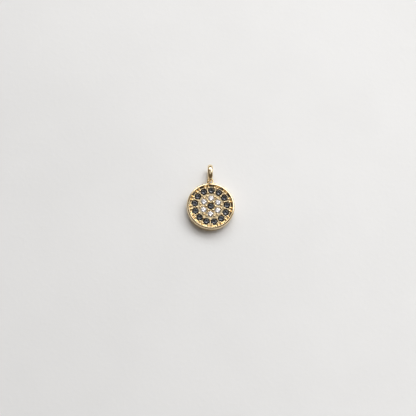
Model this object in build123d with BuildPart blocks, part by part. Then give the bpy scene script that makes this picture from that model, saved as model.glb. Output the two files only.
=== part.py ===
from build123d import *
import os
from math import asin, cos, hypot, radians, sin, sqrt, tan

# Pendant with a round stone-set disc, lying on its flat back. Millimetres and degrees.
# The origin is the middle of the back, +Z points up through the face, +Y towards the bail.

# Disc and rim
disc_diameter = 10.0
disc_thickness = 2.0
back_round = 0.18
# The rim has a rounded outer shoulder, a narrow crest and a straight slope down to the face
rim_height = 0.5
rim_shoulder_width = 0.38
rim_shoulder_height = 0.42
rim_crest_radius = 0.12
rim_slope = 58.0

# Stone layout: a centre stone, a ring of white stones and a ring of black stones
black_diameter = 1.35
white_diameter = 1.20
centre_diameter = 1.35
black_count = 13
white_count = 6
black_ring_radius = 3.38
white_ring_radius = 1.70
# The whole layout sits turned a little from the hanging loop
layout_start = 88.0

# Round brilliant cut, as shares of the stone's diameter
girdle_share = 0.03
crown_share = 0.155
culet_share = 0.03
kite_slope = 34.5
star_slope = 20.0
upper_girdle_slope = 41.0
lower_girdle_slope = 42.2
pavilion_slope = 40.8
facet_count = 8
# The main facets start this much past the scallops of the girdle facets, and the stars this
# much inside the corners of the table, so that all of them meet in points
main_reach = 1.25
star_inset = 0.97
# Each stone sits a hair off level, as stones set by hand do, with its facets turned at random
stone_lean = 1.0
stone_turn_step = 137.5

# Seats: girdle_drop is how far the top of a girdle lies below the face
girdle_drop = 0.05
seat_gap = 0.03
seat_depth = 0.65
seat_floor_radius = 0.12
bevel_width = 0.03
bevel_height = 0.16

# Bead prongs, standing on the face, and the ridges between neighbouring stones
bead_radius = 0.29
centre_bead_radius = 0.37
outer_bead_ring = 4.00
outer_bead_spread = 4.9
inner_bead_ring = 2.93
white_bead_ring = 2.20
white_bead_spread = 10.0
centre_bead_ring = 0.985
ridge_radius = 0.12
black_ridge = (2.93, 3.98)
white_ridge = (0.985, 2.10)

# Hanging loop: round wire bent to a V with a round tip, its legs soldered into the wall
loop_wire = 0.38
loop_height = 1.15
loop_side = -0.09
loop_tip_radius = 0.50
loop_tip_reach = 1.12
loop_leg_spread = 1.14
loop_leg_sink = 0.25

# Bail: a domed band bent to a closed ring, with a neck where it hangs in the loop. It stands
# on the surface beside the disc and leans a little towards -X.
bail_diameter = 3.74
bail_width = 1.10
bail_dome = 0.36
bail_inner_dome = 0.10
bail_lean = -4.0
bail_gap = 0.20
bail_section_step = 15.0
# The neck's middle lies this far below the middle of the bail, and the band keeps the width
# of the neck up to neck_reach on either side, then widens to its full width at full_reach
neck_width = 0.42
neck_below = 16.0
neck_reach = 28.0
full_reach = 62.0

disc_radius = disc_diameter / 2
face_height = disc_thickness - rim_height
black_step = 360 / black_count
white_step = 360 / white_count
black_gap_start = layout_start + black_step / 2
white_gap_start = layout_start + white_step / 2
face_plane = Plane.XY.offset(face_height)


def girdle_of(diameter):
    """Thickness of the girdle of a stone."""
    return girdle_share * diameter


def girdle_base(diameter):
    """Height of the lower edge of a stone's girdle once it is set."""
    return face_height - girdle_drop - girdle_of(diameter)


def facet_plane(slope, turn, distance, height):
    """Plane that slopes from level and faces turn, at a distance from the axis and a height."""
    tilt = radians(slope)
    heading = radians(turn)
    normal = (sin(tilt) * cos(heading), sin(tilt) * sin(heading), cos(tilt))
    return Plane(origin=(distance * cos(heading), distance * sin(heading), height), z_dir=normal)


def brilliant(diameter):
    """Round brilliant with its table up and the lower edge of its girdle at z = 0."""
    radius = diameter / 2
    girdle = girdle_of(diameter)
    crown = crown_share * diameter
    facet_step = 360 / facet_count
    quarter_step = facet_step / 4
    # Where two girdle facets meet on the girdle, seen from the middle of either
    scallop = radius * (1 - cos(radians(quarter_step)))
    kite_base = girdle + main_reach * scallop * tan(radians(upper_girdle_slope))
    main_base = -main_reach * scallop * tan(radians(lower_girdle_slope))
    table_corner = radius - (girdle + crown - kite_base) / tan(radians(kite_slope))
    star_distance = star_inset * table_corner * cos(radians(facet_step / 2))
    culet_radius = culet_share * radius
    culet_depth = (radius - culet_radius) * tan(radians(pavilion_slope)) - main_base
    planes = []
    for index in range(facet_count):
        turn = index * facet_step
        planes.append(facet_plane(kite_slope, turn, radius, kite_base))
        planes.append(facet_plane(star_slope, turn + facet_step / 2, star_distance, girdle + crown))
        planes.append(facet_plane(180 - pavilion_slope, turn, radius, main_base))
        for side in (-quarter_step, quarter_step):
            planes.append(facet_plane(upper_girdle_slope, turn + side, radius, girdle))
            planes.append(facet_plane(180 - lower_girdle_slope, turn + side, radius, 0))
    with BuildPart() as stone:
        with BuildSketch(Plane.XY.offset(-culet_depth)):
            Circle(radius)
        extrude(amount=culet_depth + girdle + crown)
        for plane in planes:
            split(bisect_by=plane, keep=Keep.BOTTOM)
    return stone.part


def turned(outline):
    """Solid turned about Z from an outline of (radius, height) points."""
    with BuildPart() as solid:
        with BuildSketch(Plane.XZ):
            with BuildLine():
                Polyline(*outline, close=True)
            make_face()
        revolve(axis=Axis.Z)
    return solid.part


def pocket(diameter):
    """Outline of a stone's pocket, from its floor up to the lower edge of the girdle."""
    pocket_radius = diameter / 2 + seat_gap
    return [(0, -seat_depth), (seat_floor_radius, -seat_depth), (pocket_radius, -seat_gap)]


def seat(diameter):
    """What is cut for a seat: the pocket and a bright-cut bevel above the girdle."""
    pocket_radius = diameter / 2 + seat_gap
    girdle = girdle_of(diameter)
    bevel_top = girdle + bevel_height
    bevel = [(pocket_radius, girdle), (pocket_radius + bevel_width, bevel_top), (0, bevel_top)]
    return turned(pocket(diameter) + bevel)


def stone_space(diameter):
    """Space kept free for a stone, which trims the beads that lap over its edge."""
    pocket_radius = diameter / 2 + seat_gap
    girdle = girdle_of(diameter)
    crown = crown_share * diameter
    table_radius = pocket_radius - crown
    space_top = girdle + 2 * crown
    above = [
        (pocket_radius, girdle + seat_gap),
        (table_radius, girdle + crown + 2 * seat_gap),
        (table_radius, space_top),
        (0, space_top),
    ]
    return turned(pocket(diameter) + above)


black_places = PolarLocations(black_ring_radius, black_count, start_angle=layout_start).locations
white_places = PolarLocations(white_ring_radius, white_count, start_angle=layout_start).locations
stone_groups = [
    (black_diameter, black_places),
    (white_diameter, white_places),
    (centre_diameter, [Location((0, 0, 0))]),
]

# The legs of the hanging loop lean in to a tip of the given radius
leg_base = disc_radius - loop_leg_sink
tip_middle = disc_radius + loop_tip_reach - loop_tip_radius
leg_reach = tip_middle - leg_base
leg_half_spread = loop_leg_spread / 2
leg_distance = sqrt(leg_reach**2 + leg_half_spread**2)
# Turn of the leg from the line of the loop, for a leg that touches the tip's arc
leg_turn = asin(leg_half_spread / leg_distance) - asin(loop_tip_radius / leg_distance)
tip_side = loop_tip_radius * cos(leg_turn)
tip_start = tip_middle + loop_tip_radius * sin(leg_turn)

# The rim's slope leaves the crest's arc where both have the same direction
crest_middle = disc_radius - rim_shoulder_width
slope = radians(rim_slope)
slope_start = crest_middle - rim_crest_radius * sin(slope)
slope_top = disc_thickness - rim_crest_radius * (1 - cos(slope))
slope_foot = slope_start - (slope_top - face_height) / tan(slope)
shoulder_base = disc_thickness - rim_shoulder_height

with BuildPart() as disc_setting:
    with BuildSketch(Plane.XZ):
        with BuildLine():
            Line((0, 0), (disc_radius - back_round, 0))
            RadiusArc((disc_radius - back_round, 0), (disc_radius, back_round), -back_round)
            Line((disc_radius, back_round), (disc_radius, shoulder_base))
            EllipticalCenterArc(
                (crest_middle, shoulder_base),
                rim_shoulder_width,
                rim_shoulder_height,
                arc_size=90,
            )
            RadiusArc((crest_middle, disc_thickness), (slope_start, slope_top), -rim_crest_radius)
            Line((slope_start, slope_top), (slope_foot, face_height))
            Line((slope_foot, face_height), (0, face_height))
            Line((0, face_height), (0, 0))
        make_face()
    revolve(axis=Axis.Z)

    # Ridges between neighbours in each ring of stones
    for (inner_end, outer_end), count, start in (
        (black_ridge, black_count, black_gap_start),
        (white_ridge, white_count, white_gap_start),
    ):
        with Locations(face_plane):
            with PolarLocations((inner_end + outer_end) / 2, count, start_angle=start):
                Cylinder(ridge_radius, outer_end - inner_end, rotation=(0, 90, 0))
            with PolarLocations(outer_end, count, start_angle=start):
                Sphere(ridge_radius)

    for diameter, places in stone_groups:
        with Locations(Plane.XY.offset(girdle_base(diameter))):
            with Locations(*places):
                add(seat(diameter), mode=Mode.SUBTRACT)

    # Beads raised from the face, later trimmed to lap over the edges of the stones
    with Locations(face_plane):
        for side in (-outer_bead_spread, outer_bead_spread):
            with PolarLocations(outer_bead_ring, black_count, start_angle=black_gap_start + side):
                Sphere(bead_radius)
        with PolarLocations(inner_bead_ring, black_count, start_angle=black_gap_start):
            Sphere(bead_radius)
        for side in (-white_bead_spread, white_bead_spread):
            with PolarLocations(white_bead_ring, white_count, start_angle=white_gap_start + side):
                Sphere(bead_radius)
        with PolarLocations(centre_bead_ring, white_count, start_angle=white_gap_start):
            Sphere(centre_bead_radius)

    for diameter, places in stone_groups:
        with Locations(Plane.XY.offset(girdle_base(diameter))):
            with Locations(*places):
                add(stone_space(diameter), mode=Mode.SUBTRACT)

    with BuildLine(Plane(origin=(loop_side, 0, loop_height))) as loop_path:
        Line((-leg_half_spread, leg_base), (-tip_side, tip_start))
        ThreePointArc(
            (-tip_side, tip_start),
            (0, tip_middle + loop_tip_radius),
            (tip_side, tip_start),
        )
        Line((tip_side, tip_start), (leg_half_spread, leg_base))
    with BuildSketch(Plane(origin=loop_path.line @ 0, z_dir=loop_path.line % 0)):
        Circle(loop_wire / 2)
    sweep(path=loop_path.line)

disc_setting.part.label = "disc_setting"


def band_width(turn):
    """Width of the bail's band at a turn from the middle of its neck."""
    share = (turn - neck_reach) / (full_reach - neck_reach)
    share = min(1.0, max(0.0, share))
    return neck_width + (bail_width - neck_width) * share**2 * (3 - 2 * share)


bail_radius = bail_diameter / 2
band_middle = bail_radius - bail_dome
lean = radians(bail_lean)
# The lowest point of the leaning dome touches the surface
bail_height = band_middle * cos(lean) + hypot(bail_dome * cos(lean), bail_width / 2 * sin(lean))
bail_side = loop_side + (bail_height - loop_height) * tan(lean)
# The outside of the bail stays bail_gap away from the foot of the rim's shoulder
shoulder_drop = bail_height - shoulder_base
bail_reach = sqrt((bail_radius + bail_gap) ** 2 - shoulder_drop**2)
below = radians(neck_below)
bail_plane = Plane(
    origin=(bail_side, disc_radius + bail_reach, bail_height),
    x_dir=(-sin(below) * sin(lean), -cos(below), -sin(below) * cos(lean)),
    z_dir=(cos(lean), 0, -sin(lean)),
)
section_count = round(180 / bail_section_step)

# One half of the bail, with the middle of the neck along +X and the bail's axis along Z
with BuildPart() as half_bail:
    for step in range(section_count + 1):
        turn = step * bail_section_step
        across = (cos(radians(turn)), sin(radians(turn)), 0)
        along = (sin(radians(turn)), -cos(radians(turn)), 0)
        half_width = band_width(turn) / 2
        with BuildSketch(Plane(origin=Vector(*across) * band_middle, x_dir=across, z_dir=along)):
            with BuildLine():
                EllipticalCenterArc((0, 0), bail_dome, half_width, start_angle=-90, arc_size=180)
                EllipticalCenterArc(
                    (0, 0), bail_inner_dome, half_width, start_angle=90, arc_size=180
                )
            make_face()
    loft()

with BuildPart() as bail:
    with Locations(bail_plane.location):
        add(half_bail.part)
        add(half_bail.part.mirror(Plane.XZ))
bail.part.label = "bail"


def place_in_seat(place, diameter, index):
    """Where a stone goes: its seat, with its own small lean and turn."""
    height = girdle_base(diameter)
    heading = radians(index * stone_turn_step)
    lean_axis = (stone_lean * cos(heading), stone_lean * sin(heading), index * stone_turn_step)
    return Location((place.position.X, place.position.Y, height), lean_axis)


os.makedirs("parts", exist_ok=True)
export_step(disc_setting.part, "parts/disc_setting.step")
export_step(bail.part, "parts/bail.step")

black_cut = brilliant(black_diameter)
white_cut = brilliant(white_diameter)
centre_cut = brilliant(centre_diameter)

for index, place in enumerate(black_places):
    with BuildPart() as black_stone:
        with Locations(place_in_seat(place, black_diameter, index)):
            add(black_cut)
    black_stone.part.label = f"black_stone_{index + 1:02d}"
    export_step(black_stone.part, f"parts/black_stone_{index + 1:02d}.step")

for index, place in enumerate(white_places):
    with BuildPart() as white_stone:
        with Locations(place_in_seat(place, white_diameter, index + black_count)):
            add(white_cut)
    white_stone.part.label = f"white_stone_{index + 1}"
    export_step(white_stone.part, f"parts/white_stone_{index + 1}.step")

with BuildPart() as centre_stone:
    with Locations(place_in_seat(Location((0, 0, 0)), centre_diameter, black_count + white_count)):
        add(centre_cut)
centre_stone.part.label = "centre_stone"
export_step(centre_stone.part, "parts/centre_stone.step")
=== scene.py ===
from math import cos, radians, sin

import bpy
from bpy.props import FloatProperty, FloatVectorProperty, PointerProperty
from mathutils import Matrix, Vector


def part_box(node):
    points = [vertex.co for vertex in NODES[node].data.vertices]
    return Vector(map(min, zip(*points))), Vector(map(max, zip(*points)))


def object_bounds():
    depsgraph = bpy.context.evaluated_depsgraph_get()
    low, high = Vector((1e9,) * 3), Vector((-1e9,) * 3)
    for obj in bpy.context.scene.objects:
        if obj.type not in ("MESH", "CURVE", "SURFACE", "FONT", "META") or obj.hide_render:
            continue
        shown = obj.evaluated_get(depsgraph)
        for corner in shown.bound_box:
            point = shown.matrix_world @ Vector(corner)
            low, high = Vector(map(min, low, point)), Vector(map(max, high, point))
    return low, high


bl_info = {
    "name": "Stone-set disc pendant",
    "version": (1, 0, 0),
    "blender": (4, 5, 0),
    "location": "View3D > Sidebar > Pendant",
    "description": "Finishes a round stone-set pendant and lights it on a pale surface",
    "category": "Object",
}

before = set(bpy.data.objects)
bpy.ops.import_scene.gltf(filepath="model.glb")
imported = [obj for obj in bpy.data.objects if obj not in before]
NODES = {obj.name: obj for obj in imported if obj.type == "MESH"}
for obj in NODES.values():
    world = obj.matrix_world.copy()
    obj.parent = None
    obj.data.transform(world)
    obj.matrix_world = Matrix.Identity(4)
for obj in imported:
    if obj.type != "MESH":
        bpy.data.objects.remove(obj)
cad_low, cad_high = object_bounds()

# One millimetre in the metres that Blender works in
MM = 0.001
# The picture's width and height in pixels
PICTURE_SIZE = 416
# Width of the rim and how far it stands above the face, in millimetres
RIM_WIDTH = 0.60
RIM_HEIGHT = 0.50
# Heights between which the face turns from painted shade to plain polished gold, from the face, in
# millimetres
RECESS_DEPTH = 0.25
RECESS_TOP = 0.12
# Shares of the full tarnish colour that the speckle reaches as real tarnish and that the recesses
# of the setting reach as painted shade
SPECKLE_TARNISH = 0.18
RECESS_SHADE = 0.38
# Shares of the full wear that patches, scratches and the lapped back reach
PATCH_WEAR = 0.6
SCRATCH_WEAR = 0.8
BACK_WEAR = 0.75
# Height of the lapping marks on the back beside the depth of a scratch
LAPPING_HEIGHT = 0.8

# How much darker a stone's patches are
PATCH_SHADE = 0.16
# Depth of the scratches on a stone, in metres
STONE_SCRATCH = 0.0000003
# How far below the table a stone takes its full painted edge shade and where it takes the plain
# colour of its table, in millimetres
EDGE_DROP = 0.07
TABLE_DROP = 0.01
# Colour of a stone's edge, darkened by painted shade, as a share of the colour of its table
BLACK_EDGE_SHADE = 0.02
CLEAR_EDGE_SHADE = 0.94

# Where the floor's painted shade is full and where it ends, in millimetres towards the upper right
SHADE_FULL = -75.0
SHADE_END = 60.0
# How far the painted shade runs along the pendant for each step across it
SHADE_SLANT = 0.6
# Shares of the darker tone in the painted shade and in the clouds of the floor, and that tone
# itself
SHADE_SHARE = 0.75
CLOUD_SHARE = 0.12
SHADE_TONE = 0.80
# Height of the floor's grain in metres
GRAIN_HEIGHT = 0.01 * MM

# The soft light at the upper right: its turn, height, distance and size
KEY_TURN = radians(158)
KEY_HEIGHT = radians(60)
KEY_DISTANCE = 1.0
KEY_SIZE = 0.60

# The room that the metal mirrors: a window towards the bail and a little to the right, under a
# paler ceiling. Edges are soft, from where they start to where they are full, and heights are
# sines of the angle above the horizon.
WINDOW_ACROSS = 0.42
WINDOW_ALONG = 0.91
WINDOW_SIDE = (0.35, 0.70)
WINDOW_FOOT = (0.38, 0.46)
WINDOW_TOP = (0.70, 0.79)
CEILING_EDGE = (0.84, 0.92)
# Brightness of the window, of the ceiling and of the dim walls
WINDOW_LIGHT = 4.0
CEILING_LIGHT = 0.50
WALL_LIGHT = 0.12
# Tints of the dim walls and of the bright parts, and the brightness between which they change
WALL_TINT = (1.0, 0.78, 0.55)
BRIGHT_TINT = (0.98, 0.99, 1.0)
TINT_CHANGE = (0.1, 0.6)

# How many times nearer and farther than the pendant the camera sees
CLIP_SPAN = 100

# Heights that the metal's finish follows, taken from the frame
setting_low, setting_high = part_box("disc_setting")
centre_low, centre_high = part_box("centre_stone")
DISC_RADIUS = setting_high.x
RIM_TOP = setting_high.z
TABLE_TOP = centre_high.z


class MetalFinish(bpy.types.PropertyGroup):
    """Colours and polish of the gold."""

    colour: FloatVectorProperty(
        name="Gold",
        description="Colour of the polished gold",
        subtype="COLOR",
        size=3,
        min=0.0,
        max=1.0,
        default=(0.94, 0.77, 0.50),
    )
    # This colour serves as real tarnish in the speckle and as painted shade in the recesses of the
    # setting
    tarnish_and_shade_colour: FloatVectorProperty(
        name="Tarnish",
        description="Colour of the gold where polishing doesn't reach",
        subtype="COLOR",
        size=3,
        min=0.0,
        max=1.0,
        default=(0.60, 0.40, 0.20),
    )
    polish: FloatProperty(
        name="Polish",
        description="Roughness of the best polished gold",
        default=0.06,
        min=0.0,
        max=1.0,
        subtype="FACTOR",
    )
    wear: FloatProperty(
        name="Wear",
        description="Roughness where handling has dulled the gold",
        default=0.17,
        min=0.0,
        max=1.0,
        subtype="FACTOR",
    )
    scratch_depth: FloatProperty(
        name="Scratch depth",
        description="Depth of the hairline scratches",
        default=0.000002,
        min=0.0,
        unit="LENGTH",
        precision=6,
    )


class StoneFinish(bpy.types.PropertyGroup):
    """Colours and gloss of the cut stones."""

    black: FloatVectorProperty(
        name="Black stone",
        description="Body colour of the black stones",
        subtype="COLOR",
        size=3,
        min=0.0,
        max=1.0,
        default=(0.200, 0.205, 0.225),
    )
    clear: FloatVectorProperty(
        name="Clear stone",
        description="Body colour of the clear stones",
        subtype="COLOR",
        size=3,
        min=0.0,
        max=1.0,
        default=(0.94, 0.91, 0.92),
    )
    black_ior: FloatProperty(
        name="Black refraction",
        description="Index of refraction of the black stones",
        default=1.54,
        min=1.0,
        max=3.0,
    )
    clear_ior: FloatProperty(
        name="Clear refraction",
        description="Index of refraction of the clear stones",
        default=2.05,
        min=1.0,
        max=3.0,
    )
    gloss: FloatProperty(
        name="Gloss",
        description="Roughness of a polished facet",
        default=0.03,
        min=0.0,
        max=1.0,
        subtype="FACTOR",
    )
    haze: FloatProperty(
        name="Haze",
        description="Roughness of a facet where skin oils have dulled it",
        default=0.07,
        min=0.0,
        max=1.0,
        subtype="FACTOR",
    )


class StageSettings(bpy.types.PropertyGroup):
    """Floor, light, room and camera."""

    floor_colour: FloatVectorProperty(
        name="Floor",
        description="Colour of the pale surface",
        subtype="COLOR",
        size=3,
        min=0.0,
        max=1.0,
        default=(0.83, 0.83, 0.828),
    )
    floor_size: FloatProperty(
        name="Floor size",
        description="Length of one side of the floor",
        default=1.6,
        min=0.1,
        unit="LENGTH",
    )
    elevation: FloatProperty(
        name="Camera elevation",
        description="Height of the camera above the horizon",
        default=radians(73.8),
        subtype="ANGLE",
    )
    azimuth: FloatProperty(
        name="Camera azimuth",
        description="Turn of the camera round the pendant, from the side opposite the bail",
        default=radians(-15.0),
        subtype="ANGLE",
    )
    lens: FloatProperty(
        name="Lens",
        description="Focal length in millimetres on a 36 mm sensor",
        default=90.0,
        min=10.0,
    )
    pixels_per_mm: FloatProperty(
        name="Pixels per millimetre",
        description="Scale of the picture at the face of the disc",
        default=4.81,
        min=0.1,
    )
    disc_pixel_x: FloatProperty(
        name="Disc, across",
        description="Where the middle of the face lies across the picture, in pixels",
        default=210.8,
    )
    disc_pixel_y: FloatProperty(
        name="Disc, down",
        description="Where the middle of the face lies down the picture, in pixels",
        default=206.0,
    )
    key_power: FloatProperty(
        name="Key light",
        description="Power of the soft light at the upper right",
        default=4.15,
        min=0.0,
    )
    room_light: FloatProperty(
        name="Room light",
        description="Brightness of the room round the pendant",
        default=1.0,
        min=0.0,
    )


def link(tree, source, target):
    """Joins an output socket to an input socket."""
    tree.links.new(source, target)


def set_input(tree, node, name, value):
    """Feeds an input of a node from a socket, or sets it to a constant."""
    if isinstance(value, bpy.types.NodeSocket):
        link(tree, value, node.inputs[name])
    else:
        node.inputs[name].default_value = value


def calculate(tree, operation, *values):
    """A Math node on one to three values or sockets, and its result."""
    node = tree.nodes.new("ShaderNodeMath")
    node.operation = operation
    for index, value in enumerate(values):
        set_input(tree, node, index, value)
    return node.outputs[0]


def map_range(tree, value, low, high, to_low=0.0, to_high=1.0):
    """A smooth step of a value from one range to another."""
    node = tree.nodes.new("ShaderNodeMapRange")
    node.interpolation_type = "SMOOTHSTEP"
    set_input(tree, node, "Value", value)
    set_input(tree, node, "From Min", low)
    set_input(tree, node, "From Max", high)
    set_input(tree, node, "To Min", to_low)
    set_input(tree, node, "To Max", to_high)
    return node.outputs["Result"]


def mix_colour(tree, share, first, second):
    """A mix of two colours by a share."""
    node = tree.nodes.new("ShaderNodeMix")
    node.data_type = "RGBA"
    set_input(tree, node, 0, share)
    for index, value in ((6, first), (7, second)):
        if isinstance(value, bpy.types.NodeSocket):
            link(tree, value, node.inputs[index])
        else:
            node.inputs[index].default_value = (*value[:3], 1.0)
    return node.outputs[2]


def noise(tree, vector, scale, detail=2.0, roughness=0.5):
    """A noise texture's value, around 0.5."""
    node = tree.nodes.new("ShaderNodeTexNoise")
    link(tree, vector, node.inputs["Vector"])
    set_input(tree, node, "Scale", scale)
    node.inputs["Detail"].default_value = detail
    node.inputs["Roughness"].default_value = roughness
    return node.outputs["Fac"]


def mapped(tree, vector, turn, stretch):
    """Coordinates turned by Euler angles in degrees and stretched along each axis."""
    node = tree.nodes.new("ShaderNodeMapping")
    link(tree, vector, node.inputs["Vector"])
    node.inputs["Rotation"].default_value = [radians(angle) for angle in turn]
    node.inputs["Scale"].default_value = stretch
    return node.outputs["Vector"]


def place_in_mm(tree):
    """A point's place on the pendant, in millimetres."""
    place = tree.nodes.new("ShaderNodeTexCoord")
    scaled = tree.nodes.new("ShaderNodeVectorMath")
    scaled.operation = "SCALE"
    link(tree, place.outputs["Object"], scaled.inputs[0])
    scaled.inputs["Scale"].default_value = 1 / MM
    return scaled.outputs[0]


def part_of(tree, vector, axis):
    """One of the X, Y and Z parts of a vector."""
    parts = tree.nodes.new("ShaderNodeSeparateXYZ")
    link(tree, vector, parts.inputs[0])
    return parts.outputs[axis]


def new_group(name, inputs, outputs):
    """An empty shader node group with named sockets, its tree, its inputs and its outputs."""
    tree = bpy.data.node_groups.new(name, "ShaderNodeTree")
    for label, kind, default in inputs:
        socket = tree.interface.new_socket(label, in_out="INPUT", socket_type=kind)
        if default is not None:
            socket.default_value = default
    for label, kind in outputs:
        tree.interface.new_socket(label, in_out="OUTPUT", socket_type=kind)
    entry = tree.nodes.new("NodeGroupInput")
    result = tree.nodes.new("NodeGroupOutput")
    return tree, entry.outputs, result.inputs


def scratch_group():
    """Hairline scratches that cross each other, from a point's place in millimetres."""
    name = "Hairline scratches"
    if name in bpy.data.node_groups:
        return bpy.data.node_groups[name]
    tree, given, result = new_group(
        name,
        [
            ("Place", "NodeSocketVector", None),
            ("Fineness", "NodeSocketFloat", 1.0),
            ("Share", "NodeSocketFloat", 0.5),
        ],
        [("Height", "NodeSocketFloat"), ("Scratched", "NodeSocketFloat")],
    )
    # Three families of scratches, each along a direction of its own
    families = (
        ((0, 0, 25), (0.7, 16.0, 7.0)),
        ((35, 20, 100), (0.6, 19.0, 8.0)),
        ((-20, 50, 160), (0.8, 14.0, 9.0)),
    )
    total = 0.0
    for turn, stretch in families:
        stretched = mapped(tree, given["Place"], turn, stretch)
        value = noise(tree, stretched, given["Fineness"], detail=1.0)
        line = calculate(tree, "ABSOLUTE", calculate(tree, "SUBTRACT", value, 0.5))
        total = calculate(tree, "MAXIMUM", total, map_range(tree, line, 0.0, 0.018, 1.0, 0.0))
    patches = noise(tree, given["Place"], 0.9, detail=2.0)
    share = calculate(tree, "SUBTRACT", 1.0, given["Share"])
    shown = map_range(tree, patches, share, calculate(tree, "ADD", share, 0.2))
    scratched = calculate(tree, "MULTIPLY", total, shown)
    link(tree, scratched, result["Scratched"])
    link(tree, calculate(tree, "MULTIPLY", scratched, -1.0), result["Height"])
    return tree


def tone_group():
    """Cloudy patches and fine speckle, as skin oils and polish leave them."""
    name = "Cloudy patches"
    if name in bpy.data.node_groups:
        return bpy.data.node_groups[name]
    tree, given, result = new_group(
        name,
        [
            ("Place", "NodeSocketVector", None),
            ("Patch scale", "NodeSocketFloat", 0.6),
            ("Speckle scale", "NodeSocketFloat", 9.0),
        ],
        [("Patches", "NodeSocketFloat"), ("Speckle", "NodeSocketFloat")],
    )
    patches = noise(tree, given["Place"], given["Patch scale"], detail=3.0, roughness=0.6)
    speckle = noise(tree, given["Place"], given["Speckle scale"], detail=2.0)
    link(tree, map_range(tree, patches, 0.35, 0.68), result["Patches"])
    link(tree, map_range(tree, speckle, 0.45, 0.75), result["Speckle"])
    return tree


def use_group(tree, group, **values):
    """Places a node group in a tree, with values for its inputs, and gives its outputs."""
    node = tree.nodes.new("ShaderNodeGroup")
    node.node_tree = group
    for label, value in values.items():
        set_input(tree, node, label.replace("_", " "), value)
    return node.outputs


def new_material(name):
    """A material with a plain Principled shader, its tree and the shader."""
    material = bpy.data.materials.new(name)
    material.use_nodes = True
    tree = material.node_tree
    return material, tree, tree.nodes["Principled BSDF"]


def add_bump(tree, shader, height, depth):
    """Bumps a shader's normal by a height from 0 to 1, which stands for a depth in metres."""
    bump = tree.nodes.new("ShaderNodeBump")
    bump.inputs["Strength"].default_value = 1.0
    bump.inputs["Distance"].default_value = depth
    link(tree, height, bump.inputs["Height"])
    link(tree, bump.outputs["Normal"], shader.inputs["Normal"])


def recess_shade_share(tree, place, height):
    """How far a point lies in the recesses of the face, from 0 to 1, as the mask of the painted
    shade.
    """
    flat = tree.nodes.new("ShaderNodeVectorMath")
    flat.operation = "MULTIPLY"
    link(tree, place, flat.inputs[0])
    flat.inputs[1].default_value = (1, 1, 0)
    reach = tree.nodes.new("ShaderNodeVectorMath")
    reach.operation = "LENGTH"
    link(tree, flat.outputs[0], reach.inputs[0])
    rim_inside = DISC_RADIUS / MM - RIM_WIDTH
    soft = 0.05
    inside = map_range(
        tree, reach.outputs["Value"], rim_inside - soft, rim_inside + soft, 1.0, 0.0
    )
    face = RIM_TOP / MM - RIM_HEIGHT
    deep = map_range(tree, height, face - RECESS_DEPTH, face + RECESS_TOP, 1.0, 0.0)
    above_back = map_range(tree, height, 0.2, 0.4)
    return calculate(tree, "MULTIPLY", calculate(tree, "MULTIPLY", inside, deep), above_back)


def gold(name, finish, in_setting):
    """Polished yellow gold, dulled by handling, with speckled tarnish, and with painted shade
    browning the recesses of the setting.
    """
    material, tree, shader = new_material(name)
    shader.inputs["Metallic"].default_value = 1.0
    place = place_in_mm(tree)
    marks = use_group(tree, scratch_group(), Place=place, Fineness=1.0, Share=0.55)
    tone = use_group(tree, tone_group(), Place=place, Patch_scale=0.55, Speckle_scale=11.0)
    dull = calculate(tree, "MULTIPLY", tone["Patches"], PATCH_WEAR)
    scratched = calculate(tree, "MULTIPLY", marks["Scratched"], SCRATCH_WEAR)
    dull = calculate(tree, "MAXIMUM", dull, scratched)
    tarnish_and_shade = calculate(tree, "MULTIPLY", tone["Speckle"], SPECKLE_TARNISH)
    marking = marks["Height"]
    if in_setting:
        height = part_of(tree, place, "Z")
        # Painted shade: the recesses between the beads and under the rim are browned towards the
        # tarnish colour
        recess = recess_shade_share(tree, place, height)
        painted_recess_shade = calculate(tree, "MULTIPLY", recess, RECESS_SHADE)
        tarnish_and_shade = calculate(tree, "MAXIMUM", tarnish_and_shade, painted_recess_shade)
        # The flat back is lapped in one direction
        back = map_range(tree, height, 0.01, 0.03, 1.0, 0.0)
        stretched = mapped(tree, place, (0, 0, 8), (0.25, 26.0, 1.0))
        lapping = calculate(tree, "MULTIPLY", back, noise(tree, stretched, 1.0, detail=3.0))
        dull = calculate(tree, "MAXIMUM", dull, calculate(tree, "MULTIPLY", back, BACK_WEAR))
        strokes = calculate(tree, "MULTIPLY", lapping, LAPPING_HEIGHT)
        marking = calculate(tree, "ADD", marking, strokes)
    colour = mix_colour(tree, tarnish_and_shade, finish.colour, finish.tarnish_and_shade_colour)
    link(tree, colour, shader.inputs["Base Color"])
    spread = calculate(tree, "MULTIPLY", dull, finish.wear - finish.polish)
    link(tree, calculate(tree, "ADD", spread, finish.polish), shader.inputs["Roughness"])
    add_bump(tree, shader, marking, finish.scratch_depth)
    return material


def cut_stone(name, colour, edge_shade, ior, finish):
    """A cut and polished stone that light passes through, with painted shade darkening its colour
    round its edge.
    """
    material, tree, shader = new_material(name)
    shader.inputs["IOR"].default_value = ior
    shader.inputs["Transmission Weight"].default_value = 1.0
    place = place_in_mm(tree)
    tone = use_group(tree, tone_group(), Place=place, Patch_scale=1.6, Speckle_scale=14.0)
    marks = use_group(tree, scratch_group(), Place=place, Fineness=1.8, Share=0.3)
    # The facets slope down from the table to the girdle, and painted shade darkens them towards
    # the girdle
    table = TABLE_TOP / MM
    height = part_of(tree, place, "Z")
    unshaded_share = map_range(tree, height, table - EDGE_DROP, table - TABLE_DROP)
    shaded_body = mix_colour(tree, unshaded_share, [channel * edge_shade for channel in colour], colour)
    patches = calculate(tree, "MULTIPLY", tone["Patches"], PATCH_SHADE)
    link(tree, mix_colour(tree, patches, shaded_body, (0, 0, 0)), shader.inputs["Base Color"])
    hazy = calculate(tree, "MULTIPLY", tone["Speckle"], tone["Patches"])
    haze = calculate(tree, "MULTIPLY", hazy, finish.haze - finish.gloss)
    link(tree, calculate(tree, "ADD", haze, finish.gloss), shader.inputs["Roughness"])
    add_bump(tree, shader, marks["Height"], STONE_SCRATCH)
    return material


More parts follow.
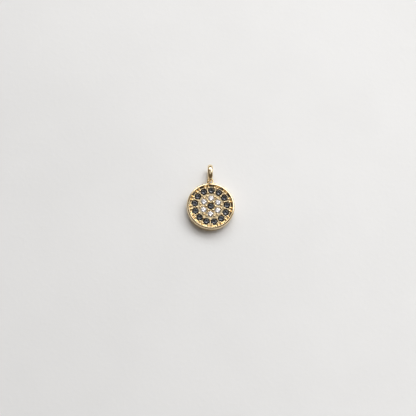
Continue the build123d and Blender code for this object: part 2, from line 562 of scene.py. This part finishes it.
def paper(name, settings):
    """Pale matt surface with a faint grain, with painted shade towards the lower left."""
    material, tree, shader = new_material(name)
    shader.inputs["Roughness"].default_value = 0.85
    shader.inputs["Specular IOR Level"].default_value = 0.25
    place = place_in_mm(tree)
    tone = use_group(tree, tone_group(), Place=place, Patch_scale=0.035, Speckle_scale=0.8)
    # The painted shade falls off from the lower left to the side of the light
    slanted = calculate(tree, "MULTIPLY", part_of(tree, place, "Y"), SHADE_SLANT)
    side = calculate(tree, "ADD", part_of(tree, place, "X"), slanted)
    far = map_range(tree, side, SHADE_FULL, SHADE_END, 1.0, 0.0)
    cloud = calculate(tree, "MULTIPLY", tone["Patches"], CLOUD_SHARE)
    shade = calculate(tree, "ADD", calculate(tree, "MULTIPLY", far, SHADE_SHARE), cloud)
    darker = [channel * SHADE_TONE for channel in settings.floor_colour]
    link(tree, mix_colour(tree, shade, settings.floor_colour, darker), shader.inputs["Base Color"])
    add_bump(tree, shader, tone["Speckle"], GRAIN_HEIGHT)
    return material


def dress(names, material):
    """Gives a material to the named solids, which keep their shape."""
    for name in names:
        piece = NODES[name]
        for place in piece.material_slots:
            place.material = material


def names_starting(start):
    """The names of the solids that begin with a word."""
    return sorted(name for name in NODES if name.startswith(start))


class PENDANT_OT_setting(bpy.types.Operator):
    """Finish the cast gold setting with its rim, seats, beads and hanging loop"""

    bl_idname = "pendant.setting"
    bl_label = "Setting"

    def execute(self, context):
        material = gold("gold_setting", context.scene.pendant_metal, in_setting=True)
        dress(["disc_setting"], material)
        return {"FINISHED"}


class PENDANT_OT_bail(bpy.types.Operator):
    """Finish the domed bail that the chain runs through"""

    bl_idname = "pendant.bail"
    bl_label = "Bail"

    def execute(self, context):
        material = gold("gold_bail", context.scene.pendant_metal, in_setting=False)
        dress(["bail"], material)
        return {"FINISHED"}


class PENDANT_OT_black_stones(bpy.types.Operator):
    """Finish the black stones of the outer ring and the middle"""

    bl_idname = "pendant.black_stones"
    bl_label = "Black stones"

    def execute(self, context):
        finish = context.scene.pendant_stones
        ior = finish.black_ior
        material = cut_stone("black_stone", finish.black, BLACK_EDGE_SHADE, ior, finish)
        dress(names_starting("black_stone") + ["centre_stone"], material)
        return {"FINISHED"}


class PENDANT_OT_clear_stones(bpy.types.Operator):
    """Finish the clear stones of the inner ring"""

    bl_idname = "pendant.clear_stones"
    bl_label = "Clear stones"

    def execute(self, context):
        finish = context.scene.pendant_stones
        ior = finish.clear_ior
        material = cut_stone("clear_stone", finish.clear, CLEAR_EDGE_SHADE, ior, finish)
        dress(names_starting("white_stone"), material)
        return {"FINISHED"}


def add_floor(settings):
    """A wide level sheet under the pendant."""
    half = settings.floor_size / 2
    mesh = bpy.data.meshes.new("floor")
    corners = [(-half, -half, 0), (half, -half, 0), (half, half, 0), (-half, half, 0)]
    mesh.from_pydata(corners, [], [(0, 1, 2, 3)])
    floor = bpy.data.objects.new("floor", mesh)
    bpy.context.scene.collection.objects.link(floor)
    floor.location.z = cad_low.z
    mesh.materials.append(paper("pale_paper", settings))


def add_soft_light(name, power, size, place, aim):
    """A square soft light at a place, turned to a point."""
    data = bpy.data.lights.new(name, "AREA")
    data.shape = "SQUARE"
    data.size = size
    data.energy = power
    lamp = bpy.data.objects.new(name, data)
    lamp.location = place
    lamp.rotation_mode = "QUATERNION"
    lamp.rotation_quaternion = (aim - place).to_track_quat("-Z", "Y")
    # Polished metal shows the room's window, not the lamp
    lamp.visible_glossy = False
    bpy.context.scene.collection.objects.link(lamp)


def direction(azimuth, elevation):
    """Unit vector towards a compass turn from -Y and a height above the horizon."""
    level = cos(elevation)
    return Vector((sin(azimuth) * level, -cos(azimuth) * level, sin(elevation)))


def add_room(settings):
    """Room round the pendant, with a window, a pale ceiling and dim warm walls."""
    world = bpy.data.worlds.new("room")
    world.use_nodes = True
    bpy.context.scene.world = world
    tree = world.node_tree
    towards = tree.nodes.new("ShaderNodeTexCoord").outputs["Generated"]
    height = part_of(tree, towards, "Z")
    # The window's share of a level direction, whatever the height
    across = calculate(tree, "MULTIPLY", part_of(tree, towards, "X"), WINDOW_ACROSS)
    along = calculate(tree, "MULTIPLY", part_of(tree, towards, "Y"), WINDOW_ALONG)
    level = calculate(tree, "SUBTRACT", 1.0, calculate(tree, "POWER", height, 2.0))
    level = calculate(tree, "SQRT", calculate(tree, "MAXIMUM", level, 0.0001))
    facing = calculate(tree, "DIVIDE", calculate(tree, "ADD", across, along), level)
    side = map_range(tree, facing, *WINDOW_SIDE)
    foot = map_range(tree, height, *WINDOW_FOOT)
    top = map_range(tree, height, *WINDOW_TOP, 1.0, 0.0)
    window = calculate(tree, "MULTIPLY", calculate(tree, "MULTIPLY", side, foot), top)
    window = calculate(tree, "MULTIPLY", window, WINDOW_LIGHT)
    ceiling = calculate(tree, "MULTIPLY", map_range(tree, height, *CEILING_EDGE), CEILING_LIGHT)
    light = calculate(tree, "ADD", calculate(tree, "ADD", window, WALL_LIGHT), ceiling)
    tint = mix_colour(tree, map_range(tree, light, *TINT_CHANGE), WALL_TINT, BRIGHT_TINT)
    background = tree.nodes["Background"]
    link(tree, tint, background.inputs["Color"])
    strength = calculate(tree, "MULTIPLY", light, settings.room_light)
    link(tree, strength, background.inputs["Strength"])


def add_camera(settings):
    """Camera at a set angle to the face, with the middle of the face at a set pixel."""
    back = direction(settings.azimuth, settings.elevation)
    along = Vector((0, 1, 0))
    up = (along - along.dot(back) * back).normalized()
    right = up.cross(back)
    data = bpy.data.cameras.new("camera")
    data.lens = settings.lens
    half_width = PICTURE_SIZE / 2 / settings.pixels_per_mm * MM
    distance = half_width / (data.sensor_width / 2 / data.lens)
    data.clip_start = distance / CLIP_SPAN
    data.clip_end = distance * CLIP_SPAN
    middle = PICTURE_SIZE / 2
    pixel = MM / settings.pixels_per_mm
    face = Vector((0, 0, TABLE_TOP))
    aim = face - right * (settings.disc_pixel_x - middle) * pixel
    aim -= up * (middle - settings.disc_pixel_y) * pixel
    camera = bpy.data.objects.new("camera", data)
    turn = Matrix((right, up, back)).transposed().to_4x4()
    camera.matrix_world = Matrix.Translation(aim + back * distance) @ turn
    bpy.context.scene.collection.objects.link(camera)
    bpy.context.scene.camera = camera


class PENDANT_OT_stage(bpy.types.Operator):
    """Make the pale floor, the soft light, the room and the camera"""

    bl_idname = "pendant.stage"
    bl_label = "Stage"

    def execute(self, context):
        settings = context.scene.pendant_stage
        add_floor(settings)
        add_room(settings)
        key = direction(KEY_TURN, KEY_HEIGHT) * KEY_DISTANCE
        add_soft_light("key_light", settings.key_power, KEY_SIZE, key, Vector((0, 0, 0)))
        add_camera(settings)
        view = context.scene.view_settings
        view.view_transform = "Standard"
        view.look = "None"
        return {"FINISHED"}


class PENDANT_PT_build(bpy.types.Panel):
    """Lists the steps and settings of the pendant"""

    bl_idname = "PENDANT_PT_build"
    bl_label = "Pendant"
    bl_space_type = "VIEW_3D"
    bl_region_type = "UI"
    bl_category = "Pendant"

    def draw(self, context):
        layout = self.layout
        for step in STEPS:
            layout.operator(step.bl_idname)
        for group in SETTINGS:
            box = layout.box()
            settings = getattr(context.scene, group)
            for name in settings.bl_rna.properties.keys():
                if name not in ("rna_type", "name"):
                    box.prop(settings, name)


STEPS = (
    PENDANT_OT_setting,
    PENDANT_OT_bail,
    PENDANT_OT_black_stones,
    PENDANT_OT_clear_stones,
    PENDANT_OT_stage,
)
SETTINGS = {
    "pendant_metal": MetalFinish,
    "pendant_stones": StoneFinish,
    "pendant_stage": StageSettings,
}


def register():
    """Adds the settings, the steps and the panel to Blender."""
    for name, group in SETTINGS.items():
        bpy.utils.register_class(group)
        setattr(bpy.types.Scene, name, PointerProperty(type=group))
    for step in STEPS:
        bpy.utils.register_class(step)
    bpy.utils.register_class(PENDANT_PT_build)


def unregister():
    """Takes the settings, the steps and the panel out of Blender."""
    bpy.utils.unregister_class(PENDANT_PT_build)
    for step in reversed(STEPS):
        bpy.utils.unregister_class(step)
    for name, group in SETTINGS.items():
        delattr(bpy.types.Scene, name)
        bpy.utils.unregister_class(group)


def main():
    """Makes the whole scene."""
    register()
    bpy.ops.pendant.setting()
    bpy.ops.pendant.bail()
    bpy.ops.pendant.black_stones()
    bpy.ops.pendant.clear_stones()
    bpy.ops.pendant.stage()


if __name__ == "__main__":
    main()
